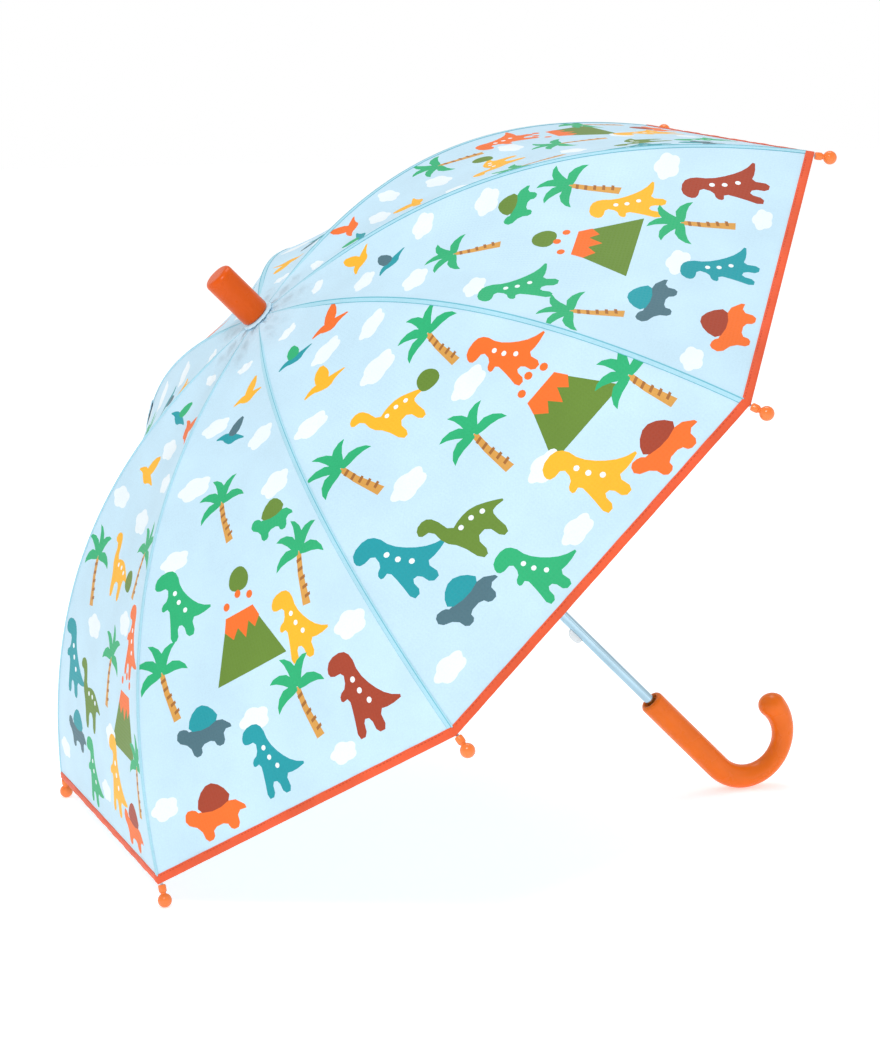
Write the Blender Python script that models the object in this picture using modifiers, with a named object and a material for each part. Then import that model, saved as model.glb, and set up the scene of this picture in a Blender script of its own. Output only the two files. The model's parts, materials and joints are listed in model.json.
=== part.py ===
"""A child's stick umbrella, open, lying on two rib tips and on the bend of its crook handle.

Everything is built in the umbrella's own frame and hung on one empty that leans it over:
the origin is the middle of the crown, +Z runs up the shaft to the cap, and the ribs stand
out around it. A depth is a distance below the crown, towards the handle. Metres throughout.
"""

from math import atan2, cos, hypot, pi, radians, sin

import bmesh
import bpy
from mathutils import Vector

# Driving dimensions: canopy
RIB_COUNT = 8
HEM_RADIUS = 0.3755         # from the shaft's axis to the cloth's edge, at a rib
HEM_DEPTH = 0.1784          # from the crown down to the cloth's edge, at a rib
CURVE_SQUARE = 0.45         # share of the rib's drop that grows with the radius squared
CLOTH_INNER = 0.0115        # radius where the cloth starts, under the cap
CLOTH = 0.0008
SAG = 0.006                 # how far a gore sinks between two ribs
HEM_WIDTH = 0.0065
HEM_THICKNESS = 0.0014
GAP = 0.0003                # left between pieces that touch
PANEL_ROWS = 12
WELD = 0.00001

# Driving dimensions: shaft, handle and cap
SHAFT_RADIUS = 0.004
SHAFT_WALL = 0.0006
SHAFT_TOP = 0.036           # above the crown, inside the cap
SHAFT_END = 0.500           # below the crown, inside the handle
MOUTH_DEPTH = 0.442
BEND_DEPTH = 0.525          # where the handle's straight grip ends and its hook begins
HOOK_RADIUS = 0.0325
GRIP_RADIUS = 0.0096
HOOK_THIN = 0.0082
BULB_RADIUS = 0.0104
CAP_TOP = 0.0445
CAP_BASE = 0.0025
CAP_RADIUS = 0.0113
BULB_START = radians(115)   # angle round the hook where it starts to swell to its bulb

# Driving dimensions: folding frame
CROWN_RADIUS = 0.0098
HINGE_RADIUS = 0.008        # the crown's wire ring, which the rib eyes turn on
HINGE_DEPTH = 0.003
WIRE = 0.0005
RIB_RADIUS = 0.00125
NECK_RADIUS = 0.00062
LUG_RADIUS = 0.150          # distance of the rib's lug from the shaft's axis
LUG_DROP = 0.0038
RUNNER_PIVOT = 0.0092
RUNNER_OPEN = 0.172         # depth of the runner's pivots with the umbrella open
RUNNER_HEAD = 0.0045
RUNNER_LENGTH = 0.030       # from the pivots to the sleeve's lower end
EYE_WIDTH = 0.0014
SLOT_WIDTH = 0.0020
PIN_HOLE = 0.0011
RIVET_RADIUS = 0.0008
EYE_RADIUS = 0.0018
STAY_RADIUS = 0.0011
STAY_NECK = 0.00065          # radius of the stay's flattened end in the runner
CATCH_LENGTH = 0.0128
CATCH_PROUD = 0.0048
CATCH_WIDTH = 0.0026
TOP_CATCH_DEPTH = 0.2092
BOTTOM_CATCH_DEPTH = 0.3575

# Driving dimensions: rib tips
TIP_REACH = 0.0117          # from the cloth's edge to the middle of the ball
TIP_BORE = 0.0052           # depth of the tip's socket for the rib
BALL_RADIUS = 0.005

SECTOR = 2 * pi / RIB_COUNT
RIB_BELOW_CLOTH = CLOTH + GAP + RIB_RADIUS


# ---------------------------------------------------------------- the canopy's shape

def seam_depth(radius):
    """Depth of the cloth over a rib at this distance from the shaft."""
    t = radius / HEM_RADIUS
    return HEM_DEPTH * (CURVE_SQUARE * t**2 + (1 - CURVE_SQUARE) * t**3)


def seam_slope(radius):
    t = radius / HEM_RADIUS
    return HEM_DEPTH / HEM_RADIUS * (2 * CURVE_SQUARE * t + 3 * (1 - CURVE_SQUARE) * t**2)


def below_seam(radius, distance):
    """(radius, depth) of the point that lies this far under the cloth, square to it."""
    slope = seam_slope(radius)
    length = hypot(1, slope)
    return radius - distance * slope / length, seam_depth(radius) + distance / length


def cloth_point(radius, across):
    """Point of the canopy in a rib's own frame. across runs from -0.5 to 0.5, gore middle
    to gore middle, and is 0 at the rib. The cloth hangs on straight chords between the ribs
    and sinks a little towards the middle of each gore."""
    w = abs(across)
    x = radius * (1 - (1 - cos(SECTOR)) * w)
    y = radius * sin(SECTOR) * across
    t = radius / HEM_RADIUS
    sink = SAG * 4 * w * (1 - w) * sin(pi * min(t, 1)) ** 0.8
    slope = seam_slope(radius)
    length = hypot(1, slope)
    inward = 1 - sink * slope / length / hypot(x, y)
    return Vector((x * inward, y * inward, -seam_depth(radius) - sink / length))


# ---------------------------------------------------------------- where the joints are

def past_hem(distance):
    """(radius, depth) of the point this far beyond the cloth's edge, in line with the rib."""
    radius, depth = below_seam(HEM_RADIUS, RIB_BELOW_CLOTH)
    slope = seam_slope(HEM_RADIUS)
    length = hypot(1, slope)
    return radius + distance / length, depth + distance * slope / length


def lug_centre():
    return below_seam(LUG_RADIUS, RIB_BELOW_CLOTH + LUG_DROP)


def stay_length():
    radius, depth = lug_centre()
    return hypot(radius - RUNNER_PIVOT, RUNNER_OPEN - depth)


def lean():
    """Angle of the shaft below level when two ball tips and the hook touch the floor."""
    radius, depth = past_hem(TIP_REACH)
    level = radius * cos(SECTOR / 2) + HOOK_RADIUS
    drop = BEND_DEPTH - depth
    rest = HOOK_RADIUS + hook_radius_at(pi / 4) - BALL_RADIUS
    low, high = 0.0, pi / 2
    for _ in range(60):
        middle = (low + high) / 2
        if level * cos(middle) - drop * sin(middle) > rest:
            low = middle
        else:
            high = middle
    return low


def hook_radius_at(angle):
    """The handle narrows round its hook and swells again to the bulb at its end."""
    taper = sin(min(angle / BULB_START, 1) * pi / 2) ** 2
    thin = GRIP_RADIUS + (HOOK_THIN - GRIP_RADIUS) * taper
    swell = max(0.0, (angle - BULB_START) / (pi - BULB_START))
    return thin + (BULB_RADIUS - HOOK_THIN) * swell**1.5


# ---------------------------------------------------------------- modelling helpers

def material(name, colour, roughness, metallic=0.0, alpha=1.0):
    mat = bpy.data.materials.new(name)
    mat.use_nodes = True
    shader = mat.node_tree.nodes["Principled BSDF"]
    shader.inputs["Base Color"].default_value = (*colour, 1.0)
    shader.inputs["Roughness"].default_value = roughness
    shader.inputs["Metallic"].default_value = metallic
    shader.inputs["Alpha"].default_value = alpha
    return mat


def finish(obj, mat, parent, smooth=35):
    """Give the object its material, shade it and hang it on its parent."""
    obj.data.materials.clear()
    obj.data.materials.append(mat)
    if obj.type == "MESH":
        obj.data.shade_smooth()
        obj.data.set_sharp_from_angle(angle=radians(smooth))
    obj.parent = parent
    for owner in list(obj.users_collection):
        owner.objects.unlink(obj)
    umbrella.objects.link(obj)
    return obj


def mesh_object(name, mesh):
    obj = bpy.data.objects.new(name, mesh)
    umbrella.objects.link(obj)
    return obj


def empty(name, location, parent=None, turn=0.0):
    obj = bpy.data.objects.new(name, None)
    obj.empty_display_size = 0.02
    obj.location = location
    obj.rotation_euler = (0, 0, turn)
    obj.parent = parent
    umbrella.objects.link(obj)
    return obj


def lathe(name, profile, steps, closed=False):
    """Turn a profile of (radius, height) points about Z. It runs down the outer side."""
    mesh = bpy.data.meshes.new(name)
    count = len(profile)
    edges = [(i, i + 1) for i in range(count - 1)]
    if closed:
        edges.append((count - 1, 0))
    mesh.from_pydata([(r, 0, z) for r, z in profile], edges, [])
    obj = mesh_object(name, mesh)
    screw = obj.modifiers.new("turn", "SCREW")
    screw.steps = steps
    screw.render_steps = steps
    screw.use_merge_vertices = True
    screw.merge_threshold = WELD
    return obj


def tube(name, points, radii, resolution=2):
    """A round bar along the points, with its own radius at each, as a closed mesh."""
    curve = bpy.data.curves.new(name, "CURVE")
    curve.dimensions = "3D"
    curve.bevel_depth = 1.0
    curve.bevel_resolution = resolution
    curve.use_fill_caps = True
    spline = curve.splines.new("POLY")
    spline.points.add(len(points) - 1)
    for point, place, radius in zip(spline.points, points, radii):
        point.co = (*place, 1.0)
        point.radius = radius
    path = mesh_object(name + "_path", curve)
    return welded(name, path)


def outline(name, points, thickness):
    """A flat outline in XZ, thickened along Y, as a closed mesh."""
    curve = bpy.data.curves.new(name, "CURVE")
    curve.dimensions = "2D"
    curve.fill_mode = "BOTH"
    curve.extrude = thickness / 2
    spline = curve.splines.new("POLY")
    spline.points.add(len(points) - 1)
    for point, (x, z) in zip(spline.points, points):
        point.co = (x, z, 0.0, 1.0)
    spline.use_cyclic_u = True
    path = mesh_object(name + "_path", curve)
    path.rotation_euler = (pi / 2, 0, 0)
    flat = welded(name, path)
    flat.data.transform(flat.matrix_world)
    flat.rotation_euler = (0, 0, 0)
    return flat


def welded(name, source):
    """The evaluated shape of an object as a mesh object of its own; the source goes."""
    bpy.context.view_layer.update()
    graph = bpy.context.evaluated_depsgraph_get()
    mesh = bpy.data.meshes.new_from_object(source.evaluated_get(graph))
    work = bmesh.new()
    work.from_mesh(mesh)
    bmesh.ops.remove_doubles(work, verts=work.verts, dist=WELD)
    bmesh.ops.recalc_face_normals(work, faces=work.faces)
    work.to_mesh(mesh)
    work.free()
    place = source.matrix_world.copy()
    bpy.data.objects.remove(source)
    obj = mesh_object(name, mesh)
    obj.matrix_world = place
    bpy.context.view_layer.update()
    return obj


def cylinder_y(name, centre, radius, width, segments=12):
    """A short cylinder across the rib plane, for eyes, lugs, holes and rivets."""
    mesh = bpy.data.meshes.new(name)
    work = bmesh.new()
    bmesh.ops.create_cone(work, cap_ends=True, segments=segments, radius1=radius,
                          radius2=radius, depth=width)
    work.to_mesh(mesh)
    work.free()
    obj = mesh_object(name, mesh)
    obj.rotation_euler = (pi / 2, 0, 0)
    obj.location = centre
    return obj


def block(name, centre, size, turn=(0, 0, 0)):
    mesh = bpy.data.meshes.new(name)
    work = bmesh.new()
    bmesh.ops.create_cube(work, size=1.0)
    bmesh.ops.scale(work, vec=size, verts=work.verts)
    work.to_mesh(mesh)
    work.free()
    obj = mesh_object(name, mesh)
    obj.location = centre
    obj.rotation_euler = turn
    return obj


def boolean(obj, tool, operation="DIFFERENCE"):
    modifier = obj.modifiers.new(operation.lower(), "BOOLEAN")
    modifier.operation = operation
    modifier.object = tool
    tool.hide_render = True
    tool.display_type = "WIRE"
    umbrella.objects.unlink(tool)
    cutters.objects.link(tool)
    return modifier


def combined(name, base, added=(), removed=()):
    """One mesh from a base, what is joined to it and what is cut from it."""
    for tool in added:
        boolean(base, tool, "UNION")
    for tool in removed:
        boolean(base, tool)
    result = welded(name, base)
    for tool in (*added, *removed):
        bpy.data.objects.remove(tool)
    return result


def copies(name, master, mat, parents):
    """One object for each parent, all sharing the master's mesh."""
    mesh = master.data
    bpy.data.objects.remove(master)
    for number, parent in enumerate(parents, 1):
        finish(bpy.data.objects.new(f"{name}_{number}", mesh), mat, parent)


# ---------------------------------------------------------------- fixed pieces

def make_shaft():
    inner = SHAFT_RADIUS - SHAFT_WALL
    slot_size = (0.0022, CATCH_WIDTH + 2 * GAP, CATCH_LENGTH + 4 * GAP)
    profile = [(SHAFT_RADIUS, SHAFT_TOP), (SHAFT_RADIUS, -SHAFT_END),
               (inner, -SHAFT_END), (inner, SHAFT_TOP)]
    shaft = lathe("shaft", profile, 32, closed=True)
    for depth in (TOP_CATCH_DEPTH, BOTTOM_CATCH_DEPTH):
        slot = block("catch_slot", (-SHAFT_RADIUS + SHAFT_WALL / 2, 0, -depth), slot_size)
        boolean(shaft, slot)
        slot.parent = frame
    finish(shaft, steel, frame)


def catch_outline():
    """Side view of a catch: a rounded nose outside the shaft, a root inside its slot."""
    half = CATCH_LENGTH / 2
    root = -SHAFT_RADIUS + 0.0020
    droop = 0.0010
    steps = 10
    nose = []
    for i in range(steps + 1):
        angle = pi * i / steps
        proud = CATCH_PROUD * sin(angle) ** 0.75
        nose.append((-SHAFT_RADIUS - proud, half * cos(angle) - droop * sin(angle)))
    return [(root, half)] + nose + [(root, -half)]


def make_catch(name, depth):
    mount = empty(name + "_slide", (0, 0, -depth), frame)
    finish(outline(name, catch_outline(), CATCH_WIDTH), clear_plastic, mount)


def make_handle():
    """Straight grip and half-round hook, in the plane that stands upright on the floor."""
    rim = 0.0028
    points = [(0, 0, -MOUTH_DEPTH - rim * share) for share in (0, 0.25, 1)]
    radii = [GRIP_RADIUS - rim, GRIP_RADIUS - 0.25 * rim, GRIP_RADIUS]
    points.append((0, 0, -(MOUTH_DEPTH + BEND_DEPTH) / 2))
    radii.append(GRIP_RADIUS)
    steps = 20
    for i in range(steps + 1):
        angle = pi * i / steps
        points.append((HOOK_RADIUS * (1 - cos(angle)), 0, -BEND_DEPTH - HOOK_RADIUS * sin(angle)))
        radii.append(hook_radius_at(angle))
    for i in range(1, 6):
        angle = radians(16 * i)
        inward = 0.0004 * i
        points.append((2 * HOOK_RADIUS - inward, 0, -BEND_DEPTH + BULB_RADIUS * sin(angle)))
        radii.append(BULB_RADIUS * cos(angle))
    handle = tube("handle", points, radii, resolution=6)
    above = 0.01
    mouth, floor = 0.0062, -0.0035
    cup = lathe("mouth_cup", [(0, above), (mouth, above), (mouth, floor), (0, floor)], 24)
    cup.location = (0, 0, -MOUTH_DEPTH)
    end = -SHAFT_END - GAP
    start = -MOUTH_DEPTH + above
    radius = SHAFT_RADIUS + GAP
    bore = lathe("shaft_bore", [(0, start), (radius, start), (radius, end), (0, end)], 24)
    finish(combined("handle", handle, removed=(cup, bore)), orange, frame)


def make_top_cap():
    corner = 0.004
    chamfer = 0.0006
    edge = CAP_BASE + 0.03 * (CAP_TOP - CAP_BASE)
    profile = [(0, CAP_TOP), (CAP_RADIUS - corner, CAP_TOP)]
    for i in range(1, 5):
        angle = radians(90 - 22.5 * i)
        profile.append((CAP_RADIUS - corner + corner * cos(angle),
                        CAP_TOP - corner + corner * sin(angle)))
    profile += [(CAP_RADIUS, edge), (CAP_RADIUS - chamfer, CAP_BASE)]
    bore = SHAFT_RADIUS + GAP
    profile += [(bore, CAP_BASE), (bore, SHAFT_TOP + GAP), (0, SHAFT_TOP + GAP)]
    finish(lathe("top_cap", profile, 32), orange, frame)


def make_washer():
    inner = SHAFT_RADIUS + GAP
    upper, lower, top = 0.0128, 0.0134, 0.0020
    profile = [(upper, top), (lower, GAP), (inner, GAP), (inner, top)]
    finish(lathe("canopy_washer", profile, 24, closed=True), cloth_blue, frame)


def make_crown():
    """Notched ring on the shaft, with a groove on top for the wire that holds the ribs."""
    top, bottom = -CLOTH - GAP, -0.0062
    bore = SHAFT_RADIUS + GAP
    groove = 0.0008
    floor = -HINGE_DEPTH - groove
    profile = [
        (CROWN_RADIUS, top), (CROWN_RADIUS, bottom), (bore, bottom), (bore, top),
        (HINGE_RADIUS - groove, top), (HINGE_RADIUS - groove, floor),
        (HINGE_RADIUS + groove, floor), (HINGE_RADIUS + groove, top),
    ]
    crown = lathe("crown", profile, 32, closed=True)
    notches = []
    reach = 0.008
    centre = 0.0056 + reach / 2
    for number in range(RIB_COUNT):
        turn = SECTOR * (number + 0.5)
        place = (centre * cos(turn), centre * sin(turn), -0.0035)
        notches.append(block("notch", place, (reach, SLOT_WIDTH, 0.012), (0, 0, turn)))
    finish(combined("crown", crown, removed=notches), white_plastic, frame)


def make_crown_wire():
    mesh = bpy.data.meshes.new("crown_wire")
    work = bmesh.new()
    bmesh.ops.create_circle(work, segments=6, radius=WIRE)
    bmesh.ops.rotate(work, verts=work.verts, cent=(0, 0, 0),
                     matrix=Vector((0, 1, 0)).rotation_difference(Vector((0, 0, 1))).to_matrix())
    bmesh.ops.translate(work, vec=(HINGE_RADIUS, 0, -HINGE_DEPTH), verts=work.verts)
    work.to_mesh(mesh)
    work.free()
    ring = mesh_object("crown_wire", mesh)
    screw = ring.modifiers.new("turn", "SCREW")
    screw.steps = 32
    screw.render_steps = 32
    screw.use_merge_vertices = True
    screw.merge_threshold = WELD
    finish(ring, steel, frame)


def make_top_stop():
    inner = SHAFT_RADIUS + GAP
    top = -(RUNNER_OPEN - RUNNER_HEAD - 0.0080)
    bottom = top - 0.0072
    outer, chamfer = 0.0062, 0.0004
    profile = [(outer - chamfer, top), (outer, top - 2 * chamfer), (outer, bottom),
               (inner, bottom), (inner, top)]
    finish(lathe("top_stop", profile, 24, closed=True), white_plastic, frame)


def make_runner():
    """Sleeve with a slotted head for the stays and one slot down its length for the catches."""
    slide = empty("runner_slide", (0, 0, -RUNNER_OPEN), frame)
    bore = SHAFT_RADIUS + GAP
    head, sleeve, foot = 0.0115, 0.0066, 0.0080
    chamfer = 0.0006
    profile = [
        (head - chamfer, RUNNER_HEAD), (head, RUNNER_HEAD - chamfer),
        (head, -RUNNER_HEAD + chamfer), (head - chamfer, -RUNNER_HEAD),
        (sleeve, -RUNNER_HEAD - 0.0022), (sleeve, -RUNNER_LENGTH + 0.0035),
        (foot, -RUNNER_LENGTH + 0.0028), (foot, -RUNNER_LENGTH),
        (bore, -RUNNER_LENGTH), (bore, RUNNER_HEAD),
    ]
    runner = lathe("runner", profile, 32, closed=True)
    slots = []
    reach = 0.008
    centre = 0.0071 + reach / 2
    for number in range(RIB_COUNT):
        turn = SECTOR * (number + 0.5)
        place = (centre * cos(turn), centre * sin(turn), 0)
        slots.append(block("stay_slot", place, (reach, SLOT_WIDTH, 0.016), (0, 0, turn)))
    channel = block("catch_channel", (-0.009, 0, -0.012), (0.014, CATCH_WIDTH + 2 * GAP, 0.06))
    finish(combined("runner", runner, removed=(*slots, channel)), white_plastic, slide)


# ---------------------------------------------------------------- pieces of one rib

def hinge_frame(radius, depth, y=0.0):
    """A (radius, depth) point in the frame of a rib, whose origin is its hinge."""
    return Vector((radius - HINGE_RADIUS, y, HINGE_DEPTH - depth))


def make_rib():
    """Round bar that follows the cloth, point for point with the panel's rows."""
    stations = [HINGE_RADIUS + 0.0012] + panel_rows() + [HEM_RADIUS]
    points = [hinge_frame(*below_seam(station, RIB_BELOW_CLOTH)) for station in stations]
    points[0].z = 0
    points.append(hinge_frame(*past_hem(TIP_BORE - 2 * GAP)))
    radii = [NECK_RADIUS, NECK_RADIUS] + [RIB_RADIUS] * (len(points) - 2)
    bar = tube("rib", points, radii, resolution=1)
    eye = cylinder_y("rib_eye", (0, 0, 0), EYE_RADIUS, EYE_WIDTH)
    lug = hinge_frame(*lug_centre())
    on_bar = hinge_frame(*below_seam(LUG_RADIUS, RIB_BELOW_CLOTH))
    tab = cylinder_y("lug_round", lug, 0.0021, EYE_WIDTH)
    tilt = atan2(lug.x - on_bar.x, lug.z - on_bar.z) + pi
    web = block("lug_web", (lug + on_bar) / 2, (0.0042, EYE_WIDTH, LUG_DROP), (0, tilt, 0))
    eye_hole = cylinder_y("eye_hole", (0, 0, 0), WIRE + 0.00035, 0.004, 8)
    pin_hole = cylinder_y("pin_hole", lug, PIN_HOLE, 0.004, 10)
    return combined("rib", bar, added=(eye, tab, web), removed=(eye_hole, pin_hole))


def make_rivet():
    """Pin with a head at each end, through a rib's lug and a stay's fork."""
    half, end, head = 0.0021, 0.0027, 0.0017
    profile = [(0, end), (head, end), (head, half), (RIVET_RADIUS, half),
               (RIVET_RADIUS, -half), (head, -half), (head, -end), (0, -end)]
    pin = lathe("rivet", profile, 10)
    pin.rotation_euler = (pi / 2, 0, 0)
    pin.location = hinge_frame(*lug_centre())
    placed = welded("rivet", pin)
    placed.data.transform(placed.matrix_world)
    return placed


def make_tip_cap():
    """Collar, neck and ball in one moulding, bored for the end of the rib."""
    start = 2 * GAP
    bore = RIB_RADIUS + GAP
    ball = []
    neck_angle = radians(155)
    steps = 7
    for i in range(steps + 1):
        angle = neck_angle * i / steps
        ball.append((BALL_RADIUS * sin(angle), TIP_REACH + BALL_RADIUS * cos(angle)))
    ball[0] = (0, TIP_REACH + BALL_RADIUS)
    neck, collar, mouth = 0.0020, 0.0028, 0.0024
    profile = ball + [(neck, 0.0062), (collar - 0.0001, 0.0056), (collar, 0.0020),
                      (mouth, start), (bore, start), (bore, TIP_BORE), (0, TIP_BORE)]
    cap = lathe("tip_cap", profile, 12)
    cap.location = hinge_frame(*below_seam(HEM_RADIUS, RIB_BELOW_CLOTH))
    cap.rotation_euler = (0, pi / 2 + atan2(seam_slope(HEM_RADIUS), 1), 0)
    placed = welded("tip_cap", cap)
    placed.data.transform(placed.matrix_world)
    return placed


def hem_start():
    return HEM_RADIUS - HEM_WIDTH / hypot(1, seam_slope(HEM_RADIUS))


def panel_rows():
    """Radii of the panel's rows, from under the cap to the inner edge of the hem tape."""
    edge = hem_start() - GAP
    return [CLOTH_INNER + (edge - CLOTH_INNER) * i / PANEL_ROWS for i in range(PANEL_ROWS + 1)]


def cloth_sheet(name, radii, thickness, offset):
    """A rib's share of the canopy between radii, as an open sheet with a Solidify on it."""
    mesh = bpy.data.meshes.new(name)
    work = bmesh.new()
    bmesh.ops.create_grid(work, x_segments=len(radii) - 1, y_segments=4, size=0.5)
    for vert in work.verts:
        radius = radii[round((vert.co.x + 0.5) * (len(radii) - 1))]
        limit = 0.5 - GAP / 2 / (radius * sin(SECTOR))
        place = cloth_point(radius, 2 * vert.co.y * limit)
        vert.co = hinge_frame(place.x, -place.z, place.y)
    work.to_mesh(mesh)
    work.free()
    sheet = mesh_object(name, mesh)
    shell = sheet.modifiers.new("cloth", "SOLIDIFY")
    shell.thickness = thickness
    shell.offset = offset
    return sheet


def make_panel():
    return welded("canopy_panel", cloth_sheet("canopy_panel", panel_rows(), CLOTH, -1))


def make_hem():
    sheet = cloth_sheet("hem_tape", [hem_start(), HEM_RADIUS], HEM_THICKNESS, -0.1)
    return welded("hem_tape", sheet)


def make_closure_strap(parent):
    """Short tape with a round snap, sewn over one seam on the outside of the canopy."""
    width, length, thickness, lift = 0.016, 0.095, 0.0012, 0.0010
    inner_end = 0.215
    mesh = bpy.data.meshes.new("closure_strap")
    work = bmesh.new()
    bmesh.ops.create_grid(work, x_segments=8, y_segments=2, size=0.5)
    for vert in work.verts:
        radius = inner_end + length * (vert.co.x + 0.5)
        across = vert.co.y * width / (radius * sin(SECTOR))
        slope = seam_slope(radius)
        place = cloth_point(radius, across)
        place += Vector((slope, 0, 1)).normalized() * lift
        vert.co = hinge_frame(place.x, -place.z, place.y)
    work.to_mesh(mesh)
    work.free()
    strap = mesh_object("closure_strap", mesh)
    shell = strap.modifiers.new("tape", "SOLIDIFY")
    shell.thickness = thickness
    shell.offset = 1
    finish(strap, cloth_blue, parent)


# ---------------------------------------------------------------- stays

def make_stretcher():
    """Round stay, modelled pointing from the lug (origin) along +X to the runner."""
    length = stay_length()
    stations = (0.0055, length - 0.016, length - 0.010, length - 0.0010)
    points = [(station, 0, 0) for station in stations]
    radii = [STAY_RADIUS, STAY_RADIUS, STAY_NECK, STAY_NECK]
    bar = tube("stretcher", points, radii, resolution=1)
    cheek = 0.0008
    outer = SLOT_WIDTH + 2 * cheek
    knuckle = cylinder_y("knuckle", (0, 0, 0), 0.0020, outer)
    cheeks = block("cheeks", (0.0042, 0, 0), (0.0084, outer, 0.0030))
    eye = cylinder_y("stay_eye", (length, 0, 0), EYE_RADIUS, EYE_WIDTH)
    fork_slot = block("fork_slot", (0.0003, 0, 0), (0.0094, SLOT_WIDTH, 0.008))
    pin_hole = cylinder_y("fork_hole", (0, 0, 0), PIN_HOLE, 0.008, 10)
    eye_hole = cylinder_y("stay_eye_hole", (length, 0, 0), 0.0009, 0.004, 8)
    holes = (fork_slot, pin_hole, eye_hole)
    return combined("stretcher", bar, added=(knuckle, cheeks, eye), removed=holes)


# ---------------------------------------------------------------- assembly

def make_ribs():
    folds = []
    stays = []
    for number in range(RIB_COUNT):
        turn = SECTOR * (number + 0.5)
        place = (HINGE_RADIUS * cos(turn), HINGE_RADIUS * sin(turn), -HINGE_DEPTH)
        fold = empty(f"rib_{number + 1}_fold", place, frame, turn)
        folds.append(fold)
        lug = hinge_frame(*lug_centre())
        stay = empty(f"stretcher_{number + 1}_turn", lug, fold)
        end = hinge_frame(RUNNER_PIVOT, RUNNER_OPEN)
        stay.rotation_euler = (0, atan2(-(end.z - lug.z), end.x - lug.x), 0)
        stays.append(stay)
    copies("rib", make_rib(), steel_dark, folds)
    copies("rivet", make_rivet(), steel, folds)
    copies("tip_cap", make_tip_cap(), orange, folds)
    copies("canopy_panel", make_panel(), cloth_blue, folds)
    copies("hem_tape", make_hem(), tape_orange, folds)
    copies("stretcher", make_stretcher(), steel_dark, stays)
    make_closure_strap(folds[2])


def centre_on_floor():
    """Move the frame so that the box round all pieces is centred on the origin in plan."""
    bpy.context.view_layer.update()
    graph = bpy.context.evaluated_depsgraph_get()
    corners = []
    for obj in umbrella.objects:
        if obj.type == "MESH":
            evaluated = obj.evaluated_get(graph)
            corners += [evaluated.matrix_world @ vert.co for vert in evaluated.data.vertices]
    for axis in (0, 1):
        low = min(corner[axis] for corner in corners)
        high = max(corner[axis] for corner in corners)
        frame.location[axis] -= (low + high) / 2
    frame.location[2] -= min(corner[2] for corner in corners)
    bpy.context.view_layer.update()


for old in list(bpy.data.objects):
    bpy.data.objects.remove(old)
umbrella = bpy.data.collections.new("childs_umbrella")
cutters = bpy.data.collections.new("cutters")
bpy.context.scene.collection.children.link(umbrella)
bpy.context.scene.collection.children.link(cutters)

steel = material("chromed_steel", (0.80, 0.84, 0.88), 0.18, 1.0)
steel_dark = material("galvanised_steel", (0.55, 0.57, 0.60), 0.35, 1.0)
orange = material("orange_plastic", (0.93, 0.25, 0.04), 0.38)
white_plastic = material("white_plastic", (0.90, 0.90, 0.88), 0.40)
clear_plastic = material("clear_plastic", (0.88, 0.90, 0.93), 0.25, alpha=0.6)
cloth_blue = material("sky_blue_cloth", (0.60, 0.81, 0.92), 0.75)
tape_orange = material("orange_tape", (0.87, 0.18, 0.08), 0.80)

frame = empty("umbrella_frame", (0, 0, 0))
frame.rotation_euler = (0, lean() - pi / 2, 0)

make_shaft()
make_handle()
make_top_cap()
make_washer()
make_crown()
make_crown_wire()
make_top_stop()
make_runner()
make_catch("top_catch", TOP_CATCH_DEPTH)
make_catch("bottom_catch", BOTTOM_CATCH_DEPTH)
make_ribs()
centre_on_floor()
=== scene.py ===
"""Fine model of the child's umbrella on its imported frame: printed cloth, trims, plastic, metal."""
import json
from math import atan2, cos, exp, hypot, pi, radians, sin

import bmesh
import bpy
from mathutils import Matrix, Vector
from mathutils.geometry import delaunay_2d_cdt


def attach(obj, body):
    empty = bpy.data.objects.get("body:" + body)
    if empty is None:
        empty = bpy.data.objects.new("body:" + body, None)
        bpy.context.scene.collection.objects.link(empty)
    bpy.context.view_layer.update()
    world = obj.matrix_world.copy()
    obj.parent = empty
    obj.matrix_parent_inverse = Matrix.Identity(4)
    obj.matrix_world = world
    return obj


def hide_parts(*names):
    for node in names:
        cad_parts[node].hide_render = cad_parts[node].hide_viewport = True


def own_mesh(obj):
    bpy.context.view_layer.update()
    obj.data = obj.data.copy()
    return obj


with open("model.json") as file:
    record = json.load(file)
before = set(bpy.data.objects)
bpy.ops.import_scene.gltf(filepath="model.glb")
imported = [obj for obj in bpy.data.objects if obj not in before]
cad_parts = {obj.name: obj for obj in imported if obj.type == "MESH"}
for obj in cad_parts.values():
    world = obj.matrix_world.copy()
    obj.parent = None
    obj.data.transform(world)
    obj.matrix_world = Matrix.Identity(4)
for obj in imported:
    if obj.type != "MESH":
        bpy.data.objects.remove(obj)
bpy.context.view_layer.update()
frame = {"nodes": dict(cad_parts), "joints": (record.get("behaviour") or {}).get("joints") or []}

# ---------------------------------------------------------------- the umbrella's own dimensions

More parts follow.
